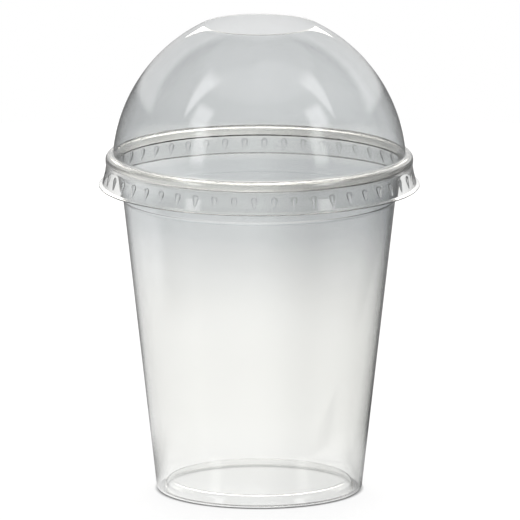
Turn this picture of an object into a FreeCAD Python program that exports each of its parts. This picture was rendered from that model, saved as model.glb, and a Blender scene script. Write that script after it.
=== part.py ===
import FreeCAD, Part
import math
import os

# Clear drinking cup with a rolled rim, and its dome lid, which clips over the rim. Each of the two
# pieces is one sheet of clear plastic, formed to shape. Millimetres, +Z up, with the origin on the
# table at the centre of the cup's foot. The lid is drawn seated on the rim.

# Cup, outer surface of the sheet
CUP_SHEET = 0.4
CUP_HEIGHT = 106.4
RIM_RADIUS = 47.5
ROLL_RADIUS = 1.5
ROLL_SWEEP = 295.0
FOOT_RADIUS = 32.1
FOOT_CORNER = 1.3
FOOT_RING = 2.7
FOOT_INNER_CORNER = 0.8
RECESS_HEIGHT = 3.0
RECESS_LEAN = 0.7
RECESS_CORNER = 2.0
SHOULDER_DROP = 14.1
SHOULDER_RADIUS = 42.6
SHOULDER_STEP = 0.7
SHOULDER_RISE = 0.9
SHOULDER_BLEND = 0.9

# Lid, outer surface of the sheet
LID_SHEET = 0.35
SEAT_GAP = 0.1
BEAD_GAP = 0.3
LUG_GAP = 0.08
DOME_HEIGHT = 41.1
DOME_INSET = 0.15
DOME_DRAFT = 5.0
DOME_ROOT = 0.5
FLAT_RADIUS = 17.7
FLAT_CORNER = 0.7
BEAD_CORNER = 1.8
BEAD_DEPTH = 2.6
GROOVE_INSET = 0.2
GROOVE_RISE = 0.9
GROOVE_BLEND = 0.6
SKIRT_DEPTH = 2.4
SKIRT_SPREAD = 0.35
SKIRT_BLEND = 0.55
FLARE_DEPTH = 3.4
FLARE_SPREAD = 0.85
FLANGE_BLEND = 0.35
FLANGE_WIDTH = 1.15
FLANGE_DROOP = 0.5

# Grip lugs pressed into the lid's skirt, under the roll of the rim
LUG_COUNT = 48
LUG_TURN = 5.6
LUG_RADIUS = 1.8
LUG_DROP = 5.0
LUG_TIP_RISE = 0.75

# How far a cutting body runs past the sheet
OVERRUN = 0.3
CLEAR = 2.0


def at(r, z):
    return FreeCAD.Vector(r, 0, z)


def spun(edges):
    """The solid swept by a closed outline in the XZ plane, turned round the Z axis."""
    face = Part.Face(Part.Wire(edges))
    return face.revolve(FreeCAD.Vector(), FreeCAD.Vector(0, 0, 1), 360)


def line(a, b):
    return Part.LineSegment(a, b).toShape()


def arc(centre, radius, start, sweep):
    """An arc by its centre and its angles in degrees, counter-clockwise from +X towards +Z."""
    points = []
    for share in (0, 0.5, 1):
        angle = math.radians(start + share * sweep)
        points.append(centre + at(math.cos(angle), math.sin(angle)) * radius)
    return Part.Arc(*points).toShape()


def angle_of(vector):
    return math.degrees(math.atan2(vector.z, vector.x))


def left_of(vector):
    return at(-vector.z, vector.x)


def shifted(corners, distance):
    """The corners of the outline that runs beside this one, to its left, with the radii to match."""
    moved = []
    for i, (point, radius) in enumerate(corners):
        before = corners[max(i - 1, 0)][0]
        after = corners[min(i + 1, len(corners) - 1)][0]
        ways = [b - a for a, b in ((before, point), (point, after)) if (b - a).Length > 0]
        first = ways[0] / ways[0].Length
        last = ways[-1] / ways[-1].Length
        side = (left_of(first) + left_of(last)) / (1 + first.dot(last))
        turns_left = left_of(first).dot(last) > 0
        grown = radius - distance if turns_left else radius + distance
        moved.append((point + side * distance, grown if radius else 0))
    return moved


def rounded(corners):
    """Straight edges through the corners, each corner rounded by a tangent arc of its radius."""
    edges = []
    start = corners[0][0]
    for i in range(1, len(corners) - 1):
        corner, radius = corners[i]
        into = (corner - corners[i - 1][0]).normalize()
        away = (corners[i + 1][0] - corner).normalize()
        half_turn = into.getAngle(away) / 2
        reach = radius * math.tan(half_turn)
        inward = (away - into).normalize()
        arc_start = corner - into * reach
        arc_middle = corner + inward * radius * (1 / math.cos(half_turn) - 1)
        arc_end = corner + away * reach
        edges.append(line(start, arc_start))
        edges.append(Part.Arc(arc_start, arc_middle, arc_end).toShape())
        start = arc_end
    edges.append(line(start, corners[-1][0]))
    return edges


def touch_point(point, centre, radius, side):
    """Where a straight line from the point touches a circle. side is 1 or -1, one for each touch."""
    reach = centre - point
    turn = math.asin(radius / reach.Length)
    length = math.sqrt(reach.Length**2 - radius**2)
    angle = math.radians(angle_of(reach)) + side * turn
    return point + at(math.cos(angle), math.sin(angle)) * length


def cup():
    """Foot ring, recessed base, tapered wall, stacking shoulder and a rim rolled outwards."""
    shoulder = CUP_HEIGHT - SHOULDER_DROP
    foot_inner = FOOT_RADIUS - FOOT_RING
    neck = at(SHOULDER_RADIUS + SHOULDER_STEP, shoulder + SHOULDER_RISE)
    roll_centre = at(RIM_RADIUS - ROLL_RADIUS, CUP_HEIGHT - ROLL_RADIUS)
    roll_start = touch_point(neck, roll_centre, ROLL_RADIUS - CUP_SHEET, 1)
    outside = [
        (at(0, RECESS_HEIGHT), 0),
        (at(foot_inner - RECESS_LEAN, RECESS_HEIGHT), RECESS_CORNER),
        (at(foot_inner, 0), FOOT_INNER_CORNER),
        (at(FOOT_RADIUS, 0), FOOT_CORNER),
        (at(SHOULDER_RADIUS, shoulder), SHOULDER_BLEND),
        (neck, SHOULDER_BLEND),
        (roll_start, 0),
    ]
    inside = shifted(outside, CUP_SHEET)
    roll_angle = angle_of(roll_start - roll_centre)
    roll_inner = arc(roll_centre, ROLL_RADIUS - CUP_SHEET, roll_angle, -ROLL_SWEEP)
    roll_outer = arc(roll_centre, ROLL_RADIUS, roll_angle, -ROLL_SWEEP)
    roll_end = line(roll_inner.Vertexes[-1].Point, roll_outer.Vertexes[-1].Point)
    axis = line(inside[0][0], outside[0][0])
    return spun(rounded(outside) + [roll_inner, roll_end, roll_outer] + rounded(inside)[::-1] + [axis])


def bead_top():
    return CUP_HEIGHT + SEAT_GAP + LID_SHEET


def skirt_points():
    """Sharp corners down the lid's outer surface: bead side, groove, skirt, flare and flange edge."""
    bead = at(RIM_RADIUS + BEAD_GAP + LID_SHEET, bead_top() - BEAD_DEPTH)
    groove = bead + at(-GROOVE_INSET, -GROOVE_RISE)
    skirt = groove + at(SKIRT_SPREAD, -SKIRT_DEPTH)
    flare = skirt + at(FLARE_SPREAD, -FLARE_DEPTH)
    flange = flare + at(FLANGE_WIDTH, -FLANGE_DROOP)
    return bead, groove, skirt, flare, flange


def skirt_corners():
    """Corners and their radii, from the top of the bead over the rim down to the edge of the flange."""
    bead, groove, skirt, flare, flange = skirt_points()
    return [
        (at(dome_root(), bead_top()), 0),
        (at(bead.x, bead_top()), BEAD_CORNER),
        (bead, GROOVE_BLEND),
        (groove, GROOVE_BLEND),
        (skirt, SKIRT_BLEND),
        (flare, FLANGE_BLEND),
        (flange, 0),
    ]


def dome_root():
    """Radius where the dome's wall would meet the top of the bead with a sharp corner."""
    return RIM_RADIUS - ROLL_RADIUS - DOME_INSET


def dome_circle():
    """Centre and radius of the dome's arc, from the root, leaning in by the draft, to the flat top."""
    root = at(dome_root(), bead_top())
    crown = at(FLAT_RADIUS, bead_top() + DOME_HEIGHT)
    outward = at(math.cos(math.radians(DOME_DRAFT)), math.sin(math.radians(DOME_DRAFT)))
    chord = crown - root
    radius = -chord.Length**2 / (2 * chord.dot(outward))
    return root - outward * radius, radius


def level_blend(centre, radius, level, blend):
    """Centre of the arc that joins a circle to a level line. A negative blend lies inside the circle."""
    height = level + blend - centre.z
    return at(centre.x + math.sqrt((radius + blend) ** 2 - height**2), level + blend)


def lid_outline(depth):
    """Closed outline of everything under the lid's surface, or under the surface at a depth in it."""
    centre, radius = dome_circle()
    top = bead_top() + DOME_HEIGHT - depth
    crown = level_blend(centre, radius - depth, top, depth - FLAT_CORNER)
    root = level_blend(centre, radius - depth, bead_top() - depth, DOME_ROOT + depth)
    crown_angle = angle_of(crown - centre)
    root_angle = angle_of(root - centre)
    corners = shifted(skirt_corners(), -depth)
    corners[0] = (at(root.x, bead_top() - depth), 0)
    end = corners[-1][0]
    if depth:
        end = end + (end - corners[-2][0])
        corners[-1] = (end, 0)
    floor = end.z - CLEAR
    edges = [
        line(at(0, top), at(crown.x, top)),
        arc(crown, FLAT_CORNER - depth, 90, crown_angle - 90),
        arc(centre, radius - depth, crown_angle, root_angle - crown_angle),
        arc(root, DOME_ROOT + depth, root_angle - 180, 90 - root_angle),
    ]
    edges += rounded(corners)
    edges.append(line(end, at(end.x, floor)))
    edges.append(line(at(end.x, floor), at(0, floor)))
    edges.append(line(at(0, floor), at(0, top)))
    return edges


def lug_body(depth):
    """Upright drop shape of one lug: a ball over a cone whose side meets the flare at the lug's tip."""
    _, _, skirt, flare, _ = skirt_points()
    ball_radius = LUG_RADIUS + depth
    ball = at(RIM_RADIUS + LUG_GAP + LID_SHEET + LUG_RADIUS, bead_top() - LUG_DROP - BEAD_GAP)
    tip = flare + (skirt - flare) * (LUG_TIP_RISE / FLARE_DEPTH)
    touch = touch_point(tip, ball, LUG_RADIUS, 1)
    side = (tip - touch).normalize()
    inward = (touch - ball).normalize()
    touch = ball + inward * ball_radius
    end = tip + inward * depth + side * OVERRUN
    edges = [
        arc(ball, ball_radius, 90, angle_of(inward) % 360 - 90),
        line(touch, end),
        line(end, at(ball.x, end.z)),
        line(at(ball.x, end.z), ball + at(0, ball_radius)),
    ]
    face = Part.Face(Part.Wire(edges))
    return face.revolve(ball, FreeCAD.Vector(0, 0, 1), 360)


def lug_ring(depth):
    """The drop shape, once for each lug round the skirt."""
    first = lug_body(depth)
    lugs = []
    for i in range(LUG_COUNT):
        lug = first.copy()
        lug.rotate(FreeCAD.Vector(), FreeCAD.Vector(0, 0, 1), LUG_TURN + i * 360 / LUG_COUNT)
        lugs.append(lug)
    return Part.makeCompound(lugs)


def dome_lid():
    """Flat-topped dome, bead over the rim, and a flared skirt with lugs pressed in, all one sheet."""
    outer = spun(lid_outline(0)).cut(lug_ring(0))
    inner = spun(lid_outline(LID_SHEET)).cut(lug_ring(LID_SHEET))
    return outer.cut(inner)


def save(shape, name):
    """Writes the shape's solids, after a check that each is one closed body."""
    solid = shape.Solids[0] if len(shape.Solids) == 1 else shape
    if not solid.isValid():
        print(name, "is not valid")
    print(name, len(shape.Solids), "solid", round(solid.Volume, 1), "mm3", solid.BoundBox)
    solid.exportStep("parts/" + name + ".step")


def main():
    os.makedirs("parts", exist_ok=True)
    save(cup(), "cup")
    save(dome_lid(), "dome_lid")


main()
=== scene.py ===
import bpy
import math
import numpy as np
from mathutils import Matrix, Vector


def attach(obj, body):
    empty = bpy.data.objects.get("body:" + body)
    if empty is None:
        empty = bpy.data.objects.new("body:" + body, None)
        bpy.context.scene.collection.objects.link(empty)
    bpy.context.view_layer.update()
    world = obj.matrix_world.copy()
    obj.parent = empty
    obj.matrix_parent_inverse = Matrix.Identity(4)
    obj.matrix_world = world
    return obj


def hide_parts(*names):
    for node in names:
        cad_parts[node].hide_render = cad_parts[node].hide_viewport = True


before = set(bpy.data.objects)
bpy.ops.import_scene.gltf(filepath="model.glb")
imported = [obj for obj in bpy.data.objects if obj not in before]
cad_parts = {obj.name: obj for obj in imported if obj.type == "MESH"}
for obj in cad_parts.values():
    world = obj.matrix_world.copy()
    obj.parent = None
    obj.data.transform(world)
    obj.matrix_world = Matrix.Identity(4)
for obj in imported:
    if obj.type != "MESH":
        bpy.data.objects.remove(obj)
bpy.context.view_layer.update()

# Sizes in millimetres, the same as the solids'
CUP_SHEET, CUP_HEIGHT, RIM_RADIUS, ROLL_RADIUS, ROLL_SWEEP = 0.4, 106.4, 47.5, 1.5, 295.0
FOOT_RADIUS, FOOT_CORNER, FOOT_RING, FOOT_INNER_CORNER = 32.1, 1.3, 2.7, 0.8
RECESS_HEIGHT, RECESS_LEAN, RECESS_CORNER = 3.0, 0.7, 2.0
SHOULDER_DROP, SHOULDER_RADIUS, SHOULDER_STEP, SHOULDER_RISE, SHOULDER_BLEND = 14.1, 42.6, 0.7, 0.9, 0.9
LID_SHEET, SEAT_GAP, BEAD_GAP, LUG_GAP = 0.35, 0.1, 0.3, 0.08
DOME_HEIGHT, DOME_INSET, DOME_DRAFT, DOME_ROOT = 41.1, 0.15, 5.0, 0.5
FLAT_RADIUS, FLAT_CORNER = 17.7, 0.7
BEAD_CORNER, BEAD_DEPTH, GROOVE_INSET, GROOVE_RISE, GROOVE_BLEND = 1.8, 2.6, 0.2, 0.9, 0.6
SKIRT_DEPTH, SKIRT_SPREAD, SKIRT_BLEND = 2.4, 0.35, 0.55
FLARE_DEPTH, FLARE_SPREAD, FLANGE_BLEND, FLANGE_WIDTH, FLANGE_DROOP = 3.4, 0.85, 0.35, 1.15, 0.5
LUG_COUNT, LUG_TURN, LUG_RADIUS, LUG_DROP, LUG_TIP_RISE = 48, 5.6, 1.8, 5.0, 0.75

# The softness of the bend where a lug meets the skirt, in millimetres, and where the lugs lie: outside a
# radius, from a margin above the flange to a margin above the groove, fading out over a short height
LUG_SOFTNESS = 0.015
LUG_ZONE = 40
LUG_LOW_MARGIN, LUG_HIGH_MARGIN, LUG_FADE = 0.05, 0.1, 0.3

# Fineness of the meshes: the longest straight runs in millimetres, and the steps of arcs in degrees
CUP_RUN, DISC_RUN, BEAD_RUN, SKIRT_RUN = 12, 6, 1.0, 0.2
ARC_STEP, ROLL_STEP, DOME_STEP, ROOT_STEP, BEAD_STEP, SKIRT_STEP, EDGE_STEP = 9.0, 12, 2.2, 14, 10, 12, 45

# The fine rows of the skirt start this far under the bead's corner
SKIRT_START = 0.3

# Columns round the cup, and round the lid to each side of a lug's middle, in degrees. Rows away from the
# skirt keep one column in five.
CUP_COLUMNS = 288
LUG_COLUMNS = [0.1, 0.3, 0.5, 0.7, 0.9, 1.1, 1.3, 1.5, 1.8, 2.6]
COARSE_SHARE = 5
FINE_MARGIN = 0.1

# Points closer than this are one, and a point this close to the axis is on it, in millimetres
SAME_POINT, ON_AXIS = 0.012, 1e-6

# A normal on the lugs is taken over this step along the outline and this turn round it
NORMAL_STEP, NORMAL_TURN = 0.005, 0.0001
MILLIMETRE = 0.001

# The clear sheet. Heights and radii from here on are in metres.
PLASTIC_IOR = 1.57
HEIGHT_SPAN = 0.15
DRIFT_SCALE, DRIFT_DETAIL, DRIFT_HEIGHT, DRIFT_HAZE = 28, 2, 0.001, 0.05
WAVE_SCALE, WAVE_DETAIL, WAVE_STRENGTH, WAVE_DEPTH = 60, 1.5, 0.06, 0.0004
# How strongly the lugs' steep flanks are darkened: a painted shade that grows with how far the normal leans
# from the plain outline
LUG_FLANK_PAINTED_SHADE = 2.0

# Fine marks round the rolled rim and the bead, fading in and out between the two values of each pair
RIM_FOOT, RIM_TOP, RIM_INSIDE = (0.103, 0.1036), (0.1074, 0.1069), (0.0445, 0.0452)
MARKS_ACROSS, MARKS_ALONG, MARKS_DETAIL = 2600, 40, 2
MARKS_DEPTH, MARKS_HAZE, MARKS_TINT, MARKS_DARK = 2.6, 0.06, 0.06, (0.52, 0.36)

# The darker right side is a painted shade, not the sheet's own colour.
# The right side of each sheet is a little darker. The shade sets in across X, eases off at the edge, and
# grows above mid-height: for each piece, the share taken off low down and the share added higher up.
SHADE_ACROSS, SHADE_EDGE, SHADE_EASE, SHADE_UPPER = (-0.004, 0.02), (0.028, 0.044), 0.1, (0.045, 0.085)
CUP_PAINTED_SHADE, LID_PAINTED_SHADE = (0.025, 0.1), (0.015, 0.0)

# Tint of each crossing of the sheet by height. Only a faint part is the sheet's own tint; the deeper greys
# are painted shade, deepest in the dome and the upper cup, while the foot, the rolled rim and the bead stay
# nearly clear.
CUP_TINT_AND_SHADE = [
    (0.0, (0.985, 0.988, 0.982)), (0.012, (0.981, 0.984, 0.97)), (0.03, (0.945, 0.947, 0.931)),
    (0.055, (0.936, 0.939, 0.926)), (0.066, (0.921, 0.926, 0.917)), (0.075, (0.892, 0.901, 0.9)),
    (0.081, (0.833, 0.846, 0.849)), (0.088, (0.752, 0.77, 0.779)), (0.096, (0.745, 0.763, 0.771)),
    (0.0985, (0.855, 0.866, 0.868)), (0.103, (0.855, 0.866, 0.868)), (0.1036, (0.995, 0.994, 0.982)),
    (0.107, (0.995, 0.994, 0.982))]
LID_TINT_AND_SHADE = [
    (0.096, (0.975, 0.975, 0.96)), (0.0976, (0.975, 0.975, 0.96)), (0.0982, (0.925, 0.931, 0.928)),
    (0.1027, (0.93, 0.936, 0.933)), (0.103, (0.9, 0.906, 0.902)), (0.1034, (0.995, 0.993, 0.977)),
    (0.1067, (0.995, 0.993, 0.977)), (0.1074, (0.79, 0.804, 0.808)), (0.1135, (0.795, 0.81, 0.814)),
    (0.119, (0.828, 0.841, 0.845)), (0.148, (0.822, 0.835, 0.84))]

# What mirrored rays meet low down, by compass: (degrees, level), 0 towards the camera and 90 at the right
AROUND = [
    (-180, 0.24), (-166, 0.24), (-160, 0.35), (-152, 0.45), (-137, 0.9), (-120, 1.0), (5, 1.0),
    (30, 0.7), (62, 0.3), (90, 0.08), (148, 0.15), (159, 0.25), (170, 0.32), (180, 0.24)]

# The painted room, by a ray's direction: Z is up, and Y is 1 behind the cup and -1 towards the camera.
# A pair says where a change starts and ends.
ROOM = 0.06
FILL = 0.55
PANEL_TOP, PANEL_FRONT, PANEL_BACK, PANEL_BACK_LOSS = (0.3, -0.02), (-0.8, -0.15), (0.15, 0.6), 0.75
BACKDROP_FOOT, BACKDROP_DROP, BACKDROP_ENDS_RISE = (-0.02, 0.08), 0.2, 0.54
BACKDROP_LOW, BACKDROP_HIGH, BACKDROP_SIDE = 0.7, (-0.05, 0.15), (0.2, 0.5)
BACKDROP_TOP, BACKDROP_TOP_FALL = (1.12, 0.95), 0.8
DUSK, DUSK_SIDE = 0.25, (0.4, 0.7)
CEILING, CEILING_EDGE = 0.3, (0.78, 0.84)

# Soft lamps in the room, each on both sides: direction, long way, half length, half width, taper,
# softness, and the levels at the left and at the right. Directions are those of the right one. A lamp
# stays before its horizon, and tapers no further than to its narrowest.
PATCHES = [
    ((0.68, -0.13, 0.72), (0.28, -0.13, -0.31), 0.24, 0.075, 0.75, 0.5, (1.9, 1.6)),
    ((0.69, -0.41, 0.59), (0, 0, 1), 0.13, 0.13, 0.0, 0.45, (2.0, 2.0)),
    ((0.74, -0.60, 0.31), (0, 0, 1), 0.2, 0.1, 0.0, 0.5, (1.8, 1.8))]
PATCH_HORIZON, PATCH_NARROWEST, SMALL = 0.01, 0.1, 0.001

# The floor: a disc just under the foot, and the table that mirrored rays find in its place, with painted
# light in front of the foot and painted shade behind it
FLOOR_RADIUS, FLOOR_LEVEL, FLOOR_SIDES = 0.6, -0.0001, 96
FLOOR_GREY, FLOOR_GLOW = 0.25, 0.84
# A painted contact shadow: ambient occlusion darkens the floor's glow close to the foot
CONTACT_REACH, CONTACT_SAMPLES = 0.0012, 8
TABLE_EDGE, TABLE_FRONT = (0.165, 0.225), (0.05, -0.05)
NEAR_REACH, NEAR_FRONT, NEAR_PAINTED_LIGHT = (0.11, 0.05), (0.01, -0.02), 0.8
FOOT_SHADE, FOOT_SHADE_REACH, FOOT_SHADE_BACK = 0.42, (0.1, 0.055), (-0.005, 0.015)

# The camera, far away and a little above. The scale is the photograph's at the cup, in pixels a metre.
CAMERA_RISE, CAMERA_DISTANCE, CAMERA_AIM = 11.5, 6.0, (0.0002, 0, 0.07276)
SENSOR_WIDTH, PHOTO_WIDTH, PHOTO_SCALE = 36, 520, 3192.5
LAMP_AIM = (0, 0, 0.1)


# Outlines, in the plane of radius and height
def v(r, z):
    """A point or direction, by radius and height."""
    return np.array([r, z], float)


def unit(a):
    return a / np.hypot(*a)


def left(a):
    """The vector turned a quarter to its left."""
    return v(-a[1], a[0])


def turn_of(a):
    """A direction's angle in degrees."""
    return math.degrees(math.atan2(a[1], a[0]))


def shifted(corners, distance):
    """Corners (point, radius) of the outline moved to its left by a distance, with the radii to match."""
    moved = []
    for i, (p, radius) in enumerate(corners):
        before = corners[max(i - 1, 0)][0]
        after = corners[min(i + 1, len(corners) - 1)][0]
        ways = [b - a for a, b in ((before, p), (p, after)) if np.hypot(*(b - a)) > 0]
        first, last = unit(ways[0]), unit(ways[-1])
        side = (left(first) + left(last)) / (1 + first @ last)
        grown = radius - distance if left(first) @ last > 0 else radius + distance
        moved.append((p + side * distance, grown if radius else 0))
    return moved


def run(a, b, longest):
    """Samples of a straight run: (point, direction)."""
    way = unit(b - a)
    count = max(1, math.ceil(np.hypot(*(b - a)) / longest))
    return [(a + (b - a) * i / count, way) for i in range(count + 1)]


def bow(centre, radius, start, sweep, step=ARC_STEP):
    """Samples of an arc by its angles in degrees: (point, direction)."""
    count = max(2, math.ceil(abs(sweep) / step))
    out = []
    for i in range(count + 1):
        a = math.radians(start + sweep * i / count)
        ray = v(math.cos(a), math.sin(a))
        out.append((centre + ray * radius, left(ray) * (1 if sweep > 0 else -1)))
    return out


def corner(before, p, after, radius, step):
    """Samples of the arc that rounds a corner."""
    into, away = unit(p - before), unit(after - p)
    half = math.acos(max(-1, min(1, into @ away))) / 2
    side = 1 if left(into) @ away > 0 else -1
    centre = p - into * radius * math.tan(half) + left(into) * side * radius
    return bow(centre, radius, turn_of(-left(into) * side), math.degrees(2 * half) * side, step)


def rounded(corners, longest, step=ARC_STEP):
    """Samples of an outline through corners (point, radius)."""
    out, start = [], corners[0][0]
    for i in range(1, len(corners) - 1):
        bend = corner(corners[i - 1][0], corners[i][0], corners[i + 1][0], corners[i][1], step)
        out += run(start, bend[0][0], longest) + bend
        start = bend[-1][0]
    return out + run(start, corners[-1][0], longest)


def back(samples):
    """The same samples, run the other way."""
    return [(p, -way) for p, way in reversed(samples)]


def clean(samples):
    """Drops repeated points and turns the directions into outward normals."""
    out = []
    for p, way in samples:
        if not out or np.hypot(*(p - out[-1][0])) > SAME_POINT:
            out.append((p, v(way[1], -way[0])))
    return out


def touch(point, centre, radius, side):
    """Where a line from a point touches a circle, on one side of it."""
    reach = centre - point
    angle = math.radians(turn_of(reach)) + side * math.asin(radius / np.hypot(*reach))
    return point + v(math.cos(angle), math.sin(angle)) * math.sqrt(reach @ reach - radius**2)


def cup_outline():
    shoulder = CUP_HEIGHT - SHOULDER_DROP
    foot = FOOT_RADIUS - FOOT_RING
    neck = v(SHOULDER_RADIUS + SHOULDER_STEP, shoulder + SHOULDER_RISE)
    roll = v(RIM_RADIUS - ROLL_RADIUS, CUP_HEIGHT - ROLL_RADIUS)
    start = touch(neck, roll, ROLL_RADIUS - CUP_SHEET, 1)
    outside = [
        (v(0, RECESS_HEIGHT), 0),
        (v(foot - RECESS_LEAN, RECESS_HEIGHT), RECESS_CORNER),
        (v(foot, 0), FOOT_INNER_CORNER),
        (v(FOOT_RADIUS, 0), FOOT_CORNER),
        (v(SHOULDER_RADIUS, shoulder), SHOULDER_BLEND),
        (neck, SHOULDER_BLEND),
        (start, 0),
    ]
    inside = shifted(outside, CUP_SHEET)
    angle = turn_of(start - roll)
    inner = bow(roll, ROLL_RADIUS - CUP_SHEET, angle, -ROLL_SWEEP, ROLL_STEP)
    outer = bow(roll, ROLL_RADIUS, angle, -ROLL_SWEEP, ROLL_STEP)
    end, rim_end = inner[-1][0], outer[-1][0]
    nose = bow((end + rim_end) / 2, CUP_SHEET / 2, turn_of(end - rim_end), 180, EDGE_STEP)
    outer_wall, inner_wall = rounded(outside, CUP_RUN), rounded(inside, CUP_RUN)
    return clean(outer_wall + inner + nose + back(outer) + back(inner_wall))


def skirt_points():
    """Corners of the lid's outside, from the bead's foot to the flange's edge."""
    top = CUP_HEIGHT + SEAT_GAP + LID_SHEET
    bead = v(RIM_RADIUS + BEAD_GAP + LID_SHEET, top - BEAD_DEPTH)
    groove = bead + v(-GROOVE_INSET, -GROOVE_RISE)
    skirt = groove + v(SKIRT_SPREAD, -SKIRT_DEPTH)
    flare = skirt + v(FLARE_SPREAD, -FLARE_DEPTH)
    flange = flare + v(FLANGE_WIDTH, -FLANGE_DROOP)
    return bead, groove, skirt, flare, flange


def lid_face(depth):
    """The lid's surface at a depth in the sheet, from the axis down to the flange's edge."""
    bead, groove, skirt, flare, flange = skirt_points()
    top = CUP_HEIGHT + SEAT_GAP + LID_SHEET
    root = v(RIM_RADIUS - ROLL_RADIUS - DOME_INSET, top)
    crown = v(FLAT_RADIUS, top + DOME_HEIGHT)
    out = v(math.cos(math.radians(DOME_DRAFT)), math.sin(math.radians(DOME_DRAFT)))
    chord = crown - root
    radius = -(chord @ chord) / (2 * chord @ out)
    centre = root - out * radius

    def blend(level, size):
        """Centre of the arc between the dome and the flat sheet at a level."""
        height = level + size - centre[1]
        return v(centre[0] + math.sqrt((radius - depth + size) ** 2 - height**2), level + size)

    high = top + DOME_HEIGHT - depth
    crown = blend(high, depth - FLAT_CORNER)
    root = blend(top - depth, DOME_ROOT + depth)
    a, b = turn_of(crown - centre), turn_of(root - centre)
    corners = shifted([
        (v(0, top), 0), (v(bead[0], top), BEAD_CORNER), (bead, GROOVE_BLEND), (groove, GROOVE_BLEND),
        (skirt, SKIRT_BLEND), (flare, FLANGE_BLEND), (flange, 0)], -depth)
    corners[0] = (v(root[0], top - depth), 0)
    samples = run(v(0, high), v(crown[0], high), DISC_RUN)
    samples += bow(crown, FLAT_CORNER - depth, 90, a - 90)
    samples += bow(centre, radius - depth, a, b - a, DOME_STEP)
    samples += bow(root, DOME_ROOT + depth, b - 180, 90 - b, ROOT_STEP)
    bead, groove = corners[2][0], corners[3][0]
    samples += rounded(corners[:3] + [(groove, 0)], BEAD_RUN, BEAD_STEP)[:-1]
    start = bead + unit(groove - bead) * SKIRT_START
    return samples + rounded([(start, 0)] + corners[3:], SKIRT_RUN, SKIRT_STEP)


def lid_outline():
    """The lid's inner and outer surface, joined by the flange's rounded edge."""
    outer, inner = lid_face(0), lid_face(LID_SHEET)
    tip, way = outer[-1]
    end = inner[-1][0]
    back_off = way * LID_SHEET / 2
    tip, end = tip - back_off, end - back_off
    outer[-1], inner[-1] = (tip, way), (end, way)
    nose = bow((tip + end) / 2, LID_SHEET / 2, turn_of(tip - end), -180, EDGE_STEP)
    return clean(inner + back(nose)), clean(back(outer))


# Grip lugs, pressed into the skirt
def lug_radius(z, depth):
    """How far out a lug's middle is, and the squared radius of its upright drop shape at a height."""
    _, _, skirt, flare, _ = skirt_points()
    top = CUP_HEIGHT + SEAT_GAP + LID_SHEET
    ball = v(RIM_RADIUS + LUG_GAP + LID_SHEET + LUG_RADIUS, top - LUG_DROP - BEAD_GAP)
    tip = flare + (skirt - flare) * (LUG_TIP_RISE / FLARE_DEPTH)
    hit = touch(tip, ball, LUG_RADIUS, 1)
    ray = unit(hit - ball)
    hit = ball + ray * (LUG_RADIUS + depth)
    side = unit(tip + ray * depth - hit)
    cone = ball[0] - (hit[0] + side[0] / side[1] * (z - hit[1]))
    sphere = (LUG_RADIUS + depth) ** 2 - (z - ball[1]) ** 2
    return ball[0], np.where(z > hit[1], sphere, np.sign(cone) * cone**2)


def pressed(r, z, angle, depth):
    """Radius of the skirt's surface where the lugs press it in."""
    middle, square = lug_radius(z, depth)
    pitch = 2 * math.pi / LUG_COUNT
    a = (angle - math.radians(LUG_TURN) + pitch / 2) % pitch - pitch / 2
    s = square - (middle * np.sin(a)) ** 2
    lug = middle * np.cos(a) - np.sign(s) * np.sqrt(np.abs(s))
    sink = r - lug
    return r - (sink + np.sqrt(sink**2 + LUG_SOFTNESS**2)) / 2


# Meshes
def turned(point, normal, angles, radius_at, row):
    """Places and outward normals of one row about Z, and how far each leans from the plain outline."""
    (r0, z0), (nr, nz) = point, normal

    def surface(step, twist):
        a = angles + twist
        r, z = r0 - nz * step + 0 * a, z0 + nr * step + 0 * a
        q = radius_at(r, z, a, row) if radius_at else r
        return np.stack([q * np.cos(a), q * np.sin(a), z], -1)

    plain = np.stack([nr * np.cos(angles), nr * np.sin(angles), nz + 0 * angles], -1)
    facing = plain
    if radius_at:
        along = surface(NORMAL_STEP, 0) - surface(-NORMAL_STEP, 0)
        about = surface(0, NORMAL_TURN) - surface(0, -NORMAL_TURN)
        facing = np.cross(about, along)
        facing /= np.linalg.norm(facing, axis=-1, keepdims=True)
        facing *= np.sign((facing * plain).sum(-1, keepdims=True))
    return surface(0, 0), facing, 1 - (facing * plain).sum(-1)


def stitched(low, high):
    """Faces between two rings of vertices, facing outwards where low comes first."""
    a, b = len(low), len(high)
    if a > b:
        return [face[::-1] for face in stitched(high, low)]
    if a == 1:
        return [[low[0], high[(j + 1) % b], high[j]] for j in range(b)]
    if a == b:
        return [[low[j], low[(j + 1) % a], high[(j + 1) % a], high[j]] for j in range(a)]
    faces, share = [], b // a
    for j in range(a):
        here, there = low[j], low[(j + 1) % a]
        fine = [high[(share * j + k) % b] for k in range(share + 1)]
        half = share // 2
        faces += [[here, fine[k + 1], fine[k]] for k in range(half)]
        faces.append([here, there, fine[half]])
        faces += [[there, fine[k + 1], fine[k]] for k in range(half, share)]
    return faces


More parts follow.
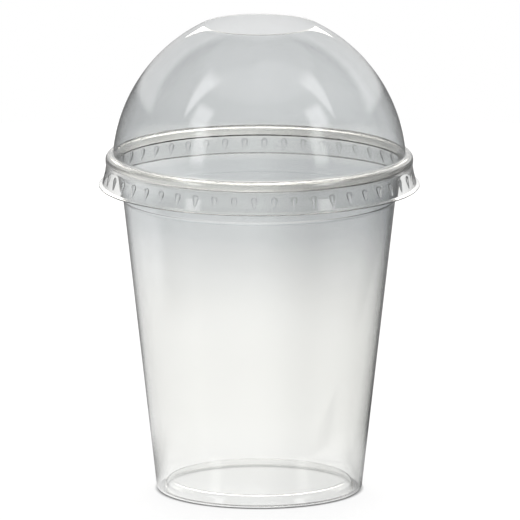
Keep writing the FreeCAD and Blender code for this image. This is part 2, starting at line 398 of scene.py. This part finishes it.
def spun(name, outline, columns, radius_at=None):
    """A closed mesh turned about Z from an outline of (point, normal), with exact normals.

    columns gives each row's angles. Of two neighbouring rows, one has as many as the other, or a whole
    multiple of them. A point on the axis is a single vertex.
    """
    places, normals, leans, rings = [], [], [], []
    for row, (point, normal) in enumerate(outline):
        if point[0] < ON_AXIS:
            ring = [(0, 0, point[1])], [(0, 0, normal[1])], [0.0]
        else:
            ring = turned(point, normal, columns(row), radius_at, row)
        rings.append(list(range(len(places), len(places) + len(ring[0]))))
        places.extend(ring[0])
        normals.extend(ring[1])
        leans.extend(ring[2])
    faces = []
    for low, high in zip(rings, rings[1:]):
        faces += stitched(low, high)
    mesh = bpy.data.meshes.new(name)
    mesh.from_pydata([tuple(p) for p in np.array(places) * MILLIMETRE], [], faces)
    mesh.polygons.foreach_set("use_smooth", [True] * len(mesh.polygons))
    mesh.update()
    mesh.normals_split_custom_set_from_vertices([tuple(n) for n in normals])
    mesh.attributes.new("lean", "FLOAT", "POINT").data.foreach_set("value", np.array(leans, np.float32))
    obj = bpy.data.objects.new(name, mesh)
    bpy.context.collection.objects.link(obj)
    return obj


def make_cup():
    angles = np.linspace(0, 2 * math.pi, CUP_COLUMNS, endpoint=False)
    return spun("clear_cup", cup_outline(), lambda row: angles)


def make_lid():
    offsets = np.radians([-x for x in reversed(LUG_COLUMNS)] + LUG_COLUMNS)
    pitch = 2 * math.pi / LUG_COUNT
    fine = np.concatenate([math.radians(LUG_TURN) + i * pitch + offsets for i in range(LUG_COUNT)])
    coarse = fine[::COARSE_SHARE]
    inner, outer = lid_outline()
    outline = inner + outer[1:]
    _, groove, _, flare, _ = skirt_points()
    low, high = flare[1] + LUG_LOW_MARGIN, groove[1] + LUG_HIGH_MARGIN

    def columns(row):
        r, z = outline[row][0]
        return fine if r > LUG_ZONE and low - FINE_MARGIN < z < high + FINE_MARGIN else coarse

    def radius_at(r, z, a, row):
        fade = np.clip((z - low) / LUG_FADE, 0, 1) * np.clip((high - z) / LUG_FADE, 0, 1)
        if r[0] < LUG_ZONE or not fade.any():
            return r
        return r + (pressed(r, z, a, LID_SHEET if row < len(inner) else 0) - r) * fade

    return spun("clear_lid", outline, columns, radius_at)


# Materials
class Shader:
    """The nodes of one material or world, with a short call for each kind that repeats."""

    def __init__(self, owner):
        owner.use_nodes = True
        self.nodes = owner.node_tree.nodes
        self.links = owner.node_tree.links
        self.nodes.clear()

    def put(self, value, socket):
        if isinstance(value, bpy.types.NodeSocket):
            self.links.new(value, socket)
        else:
            socket.default_value = value

    def add(self, kind, inputs=()):
        """A node of a kind. inputs gives values or other nodes' outputs, by the input's name or number."""
        node = self.nodes.new("ShaderNode" + kind)
        for key, value in dict(inputs).items():
            self.put(value, node.inputs[key])
        return node

    def calc(self, operation, *values):
        node = self.add("Math", enumerate(values))
        node.operation = operation
        return node.outputs[0]

    def times(self, a, b):
        return self.calc("MULTIPLY", a, b)

    def plus(self, a, b):
        return self.calc("ADD", a, b)

    def most(self, a, b):
        return self.calc("MAXIMUM", a, b)

    def line(self, a, slope, start):
        """a times the slope, plus the start."""
        return self.calc("MULTIPLY_ADD", a, slope, start)

    def smooth(self, value, low, high):
        """0 at low and 1 at high, with a soft change between them."""
        node = self.add("MapRange", {"From Min": low, "From Max": high, "Value": value})
        node.interpolation_type = "SMOOTHSTEP"
        return node.outputs["Result"]

    def noise(self, place, scale, detail):
        return self.add("TexNoise", {"Scale": scale, "Detail": detail, "Vector": place})

    def ramp(self, value, stops):
        """A colour by value, from rising stops (position, colour)."""
        node = self.add("ValToRGB", {"Fac": value})
        elements = node.color_ramp.elements
        for i, (position, colour) in enumerate([stops[0], stops[-1]] + stops[1:-1]):
            stop = elements[i] if i < 2 else elements.new(position)
            stop.position = position
            stop.color = (*colour, 1)
        return node.outputs["Color"]

    def place(self, kind):
        """A place or direction, whole and as its three measures."""
        whole = self.add("TexCoord").outputs[kind]
        return whole, self.add("SeparateXYZ", {0: whole}).outputs

    def rays(self):
        """Two marks: rays that have met nothing matt, and rays that have been mirrored."""
        path = self.add("LightPath").outputs
        clear = self.most(path["Is Glossy Ray"], path["Is Transmission Ray"])
        first = self.calc("LESS_THAN", path["Diffuse Depth"], 0.5)
        seen = self.most(path["Is Camera Ray"], self.times(clear, first))
        return seen, self.calc("GREATER_THAN", path["Glossy Depth"], 0.5)


def rim_marks(s, x, y, z):
    """Fine marks that run round the rim and the bead over it: where they are, and how strong."""
    radius = s.calc("SQRT", s.plus(s.times(x, x), s.times(y, y)))
    rim = s.times(s.smooth(z, *RIM_FOOT), s.smooth(radius, *RIM_INSIDE))
    rim = s.times(rim, s.smooth(z, *RIM_TOP))
    spread = s.add("CombineXYZ", {
        "X": s.times(radius, MARKS_ACROSS), "Y": s.times(z, MARKS_ACROSS), "Z": s.times(x, MARKS_ALONG)})
    marks = s.noise(spread.outputs[0], 1.0, MARKS_DETAIL)
    marks.noise_dimensions = "4D"
    s.put(s.times(y, MARKS_ALONG), marks.inputs["W"])
    return rim, marks.outputs["Fac"]


def painted_right_shade(s, x, z, shade):
    """Painted shade: what is left of the tint's brightness at the side of the sheet that is a little darker.
    """
    low, added = shade
    across = s.times(s.smooth(x, *SHADE_ACROSS), s.line(s.smooth(x, *SHADE_EDGE), -SHADE_EASE, 1.0))
    upper = s.line(s.smooth(z, *SHADE_UPPER), added, low)
    return s.calc("SUBTRACT", 1.0, s.times(across, upper))


def clear_plastic(name, tint_and_shade_stops, shade):
    """Clear sheet, tinted by height, with painted shade: the deeper greys of the height tint, a darker right
    side and darker lug flanks.
    """
    material = bpy.data.materials.new(name)
    s = Shader(material)
    place, (x, y, z) = s.place("Object")
    drift = s.noise(place, DRIFT_SCALE, DRIFT_DETAIL).outputs["Fac"]
    uneven = s.line(drift, 2 * DRIFT_HEIGHT, -DRIFT_HEIGHT)
    height = s.line(z, 1 / HEIGHT_SPAN, uneven)
    # Painted shade: the deeper greys of the height tint darken the dome and the upper cup
    tint_and_shade = s.ramp(height, [(level / HEIGHT_SPAN, colour) for level, colour in tint_and_shade_stops])
    haze = s.add("MapRange", {"To Max": DRIFT_HAZE, "Value": drift}).outputs["Result"]
    rim, marks = rim_marks(s, x, y, z)
    dark_marks = s.times(s.smooth(marks, *MARKS_DARK), rim)
    lean = s.add("Attribute")
    lean.attribute_name = "lean"
    wave = s.noise(place, WAVE_SCALE, WAVE_DETAIL).outputs["Fac"]
    relief = s.plus(wave, s.times(s.times(marks, rim), MARKS_DEPTH))
    bump = s.add("Bump", {"Strength": WAVE_STRENGTH, "Distance": WAVE_DEPTH, "Height": relief})
    # Painted shade on the right side of the sheet, then the darker rim marks
    painted_shade_and_marks = painted_right_shade(s, x, z, shade)
    painted_shade_and_marks = s.times(painted_shade_and_marks, s.line(dark_marks, -MARKS_TINT, 1.0))
    # Painted shade on the lugs' flanks: darker the further the normal leans from the plain outline
    painted_shade_and_marks = s.times(painted_shade_and_marks, s.line(lean.outputs["Fac"], -LUG_FLANK_PAINTED_SHADE, 1.0))
    shaded = s.add("VectorMath")
    shaded.operation = "SCALE"
    s.put(tint_and_shade, shaded.inputs[0])
    s.put(painted_shade_and_marks, shaded.inputs["Scale"])
    body = s.add("BsdfPrincipled", {
        "IOR": PLASTIC_IOR, "Transmission Weight": 1.0, "Base Color": shaded.outputs[0],
        "Roughness": s.line(rim, MARKS_HAZE, haze), "Normal": bump.outputs["Normal"]})
    s.add("OutputMaterial", {"Surface": body.outputs["BSDF"]})
    return material


def around(s, x, y):
    """What mirrored rays meet low down, by compass: white in front and at the left, dim elsewhere."""
    turn = s.calc("ARCTAN2", x, s.times(y, -1.0))
    share = s.line(turn, 0.5 / math.pi, 0.5)
    return s.ramp(share, [(degrees / 360 + 0.5, (level, level, level)) for degrees, level in AROUND])


def patch(s, way, centre, along, half_long, half_wide, taper, soft, level):
    """A soft-edged lamp far away: its direction, its long way, and its half sizes as tangents."""
    centre = Vector(centre).normalized()
    along = (Vector(along) - centre * centre.dot(Vector(along))).normalized()
    dots = []
    for axis in (centre, along, centre.cross(along)):
        dot = s.add("VectorMath", {0: way, 1: axis})
        dot.operation = "DOT_PRODUCT"
        dots.append(dot.outputs["Value"])
    ahead = s.most(dots[0], SMALL)
    inside = s.calc("GREATER_THAN", dots[0], PATCH_HORIZON)
    up = s.calc("DIVIDE", dots[1], ahead)
    narrow = s.most(s.line(up, -taper / half_long, 1.0), PATCH_NARROWEST)
    aside = s.calc("DIVIDE", s.calc("DIVIDE", dots[2], ahead), narrow)
    for offset, half in ((up, half_long), (aside, half_wide)):
        offset = s.calc("ABSOLUTE", offset)
        inside = s.times(inside, s.smooth(offset, half * (1 + soft), half * (1 - soft)))
    return s.times(inside, level)


def backdrop(s, x, y, z):
    """The white background, which reaches both lower and higher straight behind than at its ends."""
    wide = s.calc("ABSOLUTE", x)
    foot = s.smooth(s.plus(z, s.line(wide, -BACKDROP_ENDS_RISE, BACKDROP_DROP)), *BACKDROP_FOOT)
    level = s.line(s.smooth(z, *BACKDROP_HIGH), 1 - BACKDROP_LOW, BACKDROP_LOW)
    behind = s.times(s.times(foot, level), s.smooth(y, *BACKDROP_SIDE))
    return s.times(behind, s.smooth(s.line(wide, BACKDROP_TOP_FALL, z), *BACKDROP_TOP))


def room_level(s, way, x, y, z):
    """How bright a mirrored ray finds the room."""
    reach = s.times(s.smooth(z, *PANEL_TOP), s.smooth(y, *PANEL_FRONT))
    low = s.times(around(s, x, y), reach)
    low = s.times(low, s.line(s.smooth(y, *PANEL_BACK), -PANEL_BACK_LOSS, 1.0))
    dusk = s.times(s.smooth(y, *DUSK_SIDE), DUSK)
    room = s.most(s.most(s.most(backdrop(s, x, y, z), dusk), low), ROOM)
    room = s.most(room, s.times(s.smooth(z, *CEILING_EDGE), CEILING))
    for centre, along, half_long, half_wide, taper, soft, levels in PATCHES:
        for side, level in zip((-1, 1), levels):
            here, there = [(side * a, b, c) for a, b, c in (centre, along)]
            lamp = patch(s, way, here, there, half_long, half_wide, taper, soft, level)
            room = s.plus(room, lamp)
    return room


def make_world():
    """White for rays that go straight or through a sheet, the room for mirrored ones, a fill for the rest."""
    world = bpy.data.worlds.new("studio")
    bpy.context.scene.world = world
    s = Shader(world)
    seen, mirrored = s.rays()
    way, (x, y, z) = s.place("Generated")
    dim = s.calc("SUBTRACT", 1.0, room_level(s, way, x, y, z))
    white = s.calc("SUBTRACT", 1.0, s.times(mirrored, dim))
    strength = s.line(seen, s.calc("SUBTRACT", white, FILL), FILL)
    shade = s.add("Background", {"Color": (1, 1, 1, 1), "Strength": strength})
    s.add("OutputWorld", {"Surface": shade.outputs[0]})


def table_level(s, place, x, y):
    """How bright a mirrored ray finds the table, as painted light: white, ending in front, dim at the right
    and behind.
    """
    size = s.add("VectorMath", {0: place})
    size.operation = "LENGTH"
    far = size.outputs["Value"]
    ends = s.times(s.smooth(y, *TABLE_FRONT), s.smooth(far, *TABLE_EDGE))
    level = s.times(around(s, x, y), s.calc("SUBTRACT", 1.0, ends))
    level = s.most(level, ROOM)
    # painted light: close in front of the foot the table is bright on both sides
    near_painted_light = s.times(s.smooth(far, *NEAR_REACH), s.smooth(y, *NEAR_FRONT))
    level = s.most(level, s.times(near_painted_light, NEAR_PAINTED_LIGHT))
    # painted shade: close behind the foot the table is darkened, standing in for the cup's shadow
    close_painted_shade = s.times(s.smooth(far, *FOOT_SHADE_REACH), s.smooth(y, *FOOT_SHADE_BACK))
    return s.plus(level, s.times(close_painted_shade, s.calc("SUBTRACT", FOOT_SHADE, level)))


def floor_material():
    material = bpy.data.materials.new("white_floor")
    s = Shader(material)
    seen, mirrored = s.rays()
    place, (x, y, _) = s.place("Object")
    mirror_glow = s.times(mirrored, table_level(s, place, x, y))
    # Painted contact shadow, computed by ambient occlusion, in the floor's glow
    contact_shadow = s.add("AmbientOcclusion", {"Distance": CONTACT_REACH})
    contact_shadow.samples = CONTACT_SAMPLES
    straight = s.times(seen, s.calc("SUBTRACT", 1.0, mirrored))
    straight = s.times(straight, s.times(contact_shadow.outputs["AO"], FLOOR_GLOW))
    glow = s.add("Emission", {"Strength": s.plus(mirror_glow, straight)})
    grey = s.add("BsdfDiffuse", {"Color": (FLOOR_GREY, FLOOR_GREY, FLOOR_GREY, 1)})
    black = s.add("BsdfDiffuse", {"Color": (0, 0, 0, 1)})
    matt = s.add("MixShader", {0: mirrored, 1: grey.outputs[0], 2: black.outputs[0]})
    both = s.add("AddShader", {0: matt.outputs[0], 1: glow.outputs[0]})
    s.add("OutputMaterial", {"Surface": both.outputs[0]})
    return material


# The studio
def make_floor():
    mesh = bpy.data.meshes.new("studio_floor")
    turns = np.linspace(0, 2 * math.pi, FLOOR_SIDES, endpoint=False)
    ring = [(FLOOR_RADIUS * math.cos(a), FLOOR_RADIUS * math.sin(a), FLOOR_LEVEL) for a in turns]
    mesh.from_pydata(ring, [], [list(range(FLOOR_SIDES))])
    mesh.materials.append(floor_material())
    floor = bpy.data.objects.new("studio_floor", mesh)
    bpy.context.collection.objects.link(floor)


def softbox(name, direction, distance, width, height, radiance, glossy=True, colour=(1, 1, 1)):
    """An area lamp that the camera doesn't see, turned to the cup from a direction."""
    data = bpy.data.lights.new(name, "AREA")
    data.shape = "RECTANGLE"
    data.size, data.size_y = width, height
    data.energy = radiance * math.pi * width * height
    data.color = colour
    lamp = bpy.data.objects.new(name, data)
    bpy.context.collection.objects.link(lamp)
    way = Vector(direction).normalized()
    lamp.location = Vector(LAMP_AIM) + way * distance
    lamp.rotation_euler = way.to_track_quat("Z", "Y").to_euler()
    lamp.visible_camera = False
    lamp.visible_glossy = glossy
    lamp.visible_transmission = glossy


def make_camera():
    rise = math.radians(CAMERA_RISE)
    data = bpy.data.cameras.new("camera")
    data.sensor_width = SENSOR_WIDTH
    data.lens = SENSOR_WIDTH * CAMERA_DISTANCE / (PHOTO_WIDTH / PHOTO_SCALE)
    camera = bpy.data.objects.new("camera", data)
    bpy.context.collection.objects.link(camera)
    way = Vector((0, -math.cos(rise), math.sin(rise)))
    camera.location = Vector(CAMERA_AIM) + way * CAMERA_DISTANCE
    camera.rotation_euler = way.to_track_quat("Z", "Y").to_euler()
    bpy.context.scene.camera = camera


def main():
    bpy.context.scene.view_settings.view_transform = "Standard"
    make_camera()
    make_world()
    make_floor()
    softbox("soft_top", direction=(0.0, 0.1, 1.0), distance=1.2, width=1.2, height=1.2, radiance=1.2,
            glossy=False)
    softbox("rim_light", direction=(0.0, 0.84, 0.54), distance=0.9, width=0.6, height=0.5, radiance=2.8,
            colour=(1.0, 0.955, 0.88))
    cup = make_cup()
    cup.data.materials.append(clear_plastic("cup_plastic", CUP_TINT_AND_SHADE, CUP_PAINTED_SHADE))
    lid = make_lid()
    lid.data.materials.append(clear_plastic("lid_plastic", LID_TINT_AND_SHADE, LID_PAINTED_SHADE))
    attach(cup, "cup")
    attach(lid, "lid")
    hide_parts("cup")
    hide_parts("dome_lid")


main()
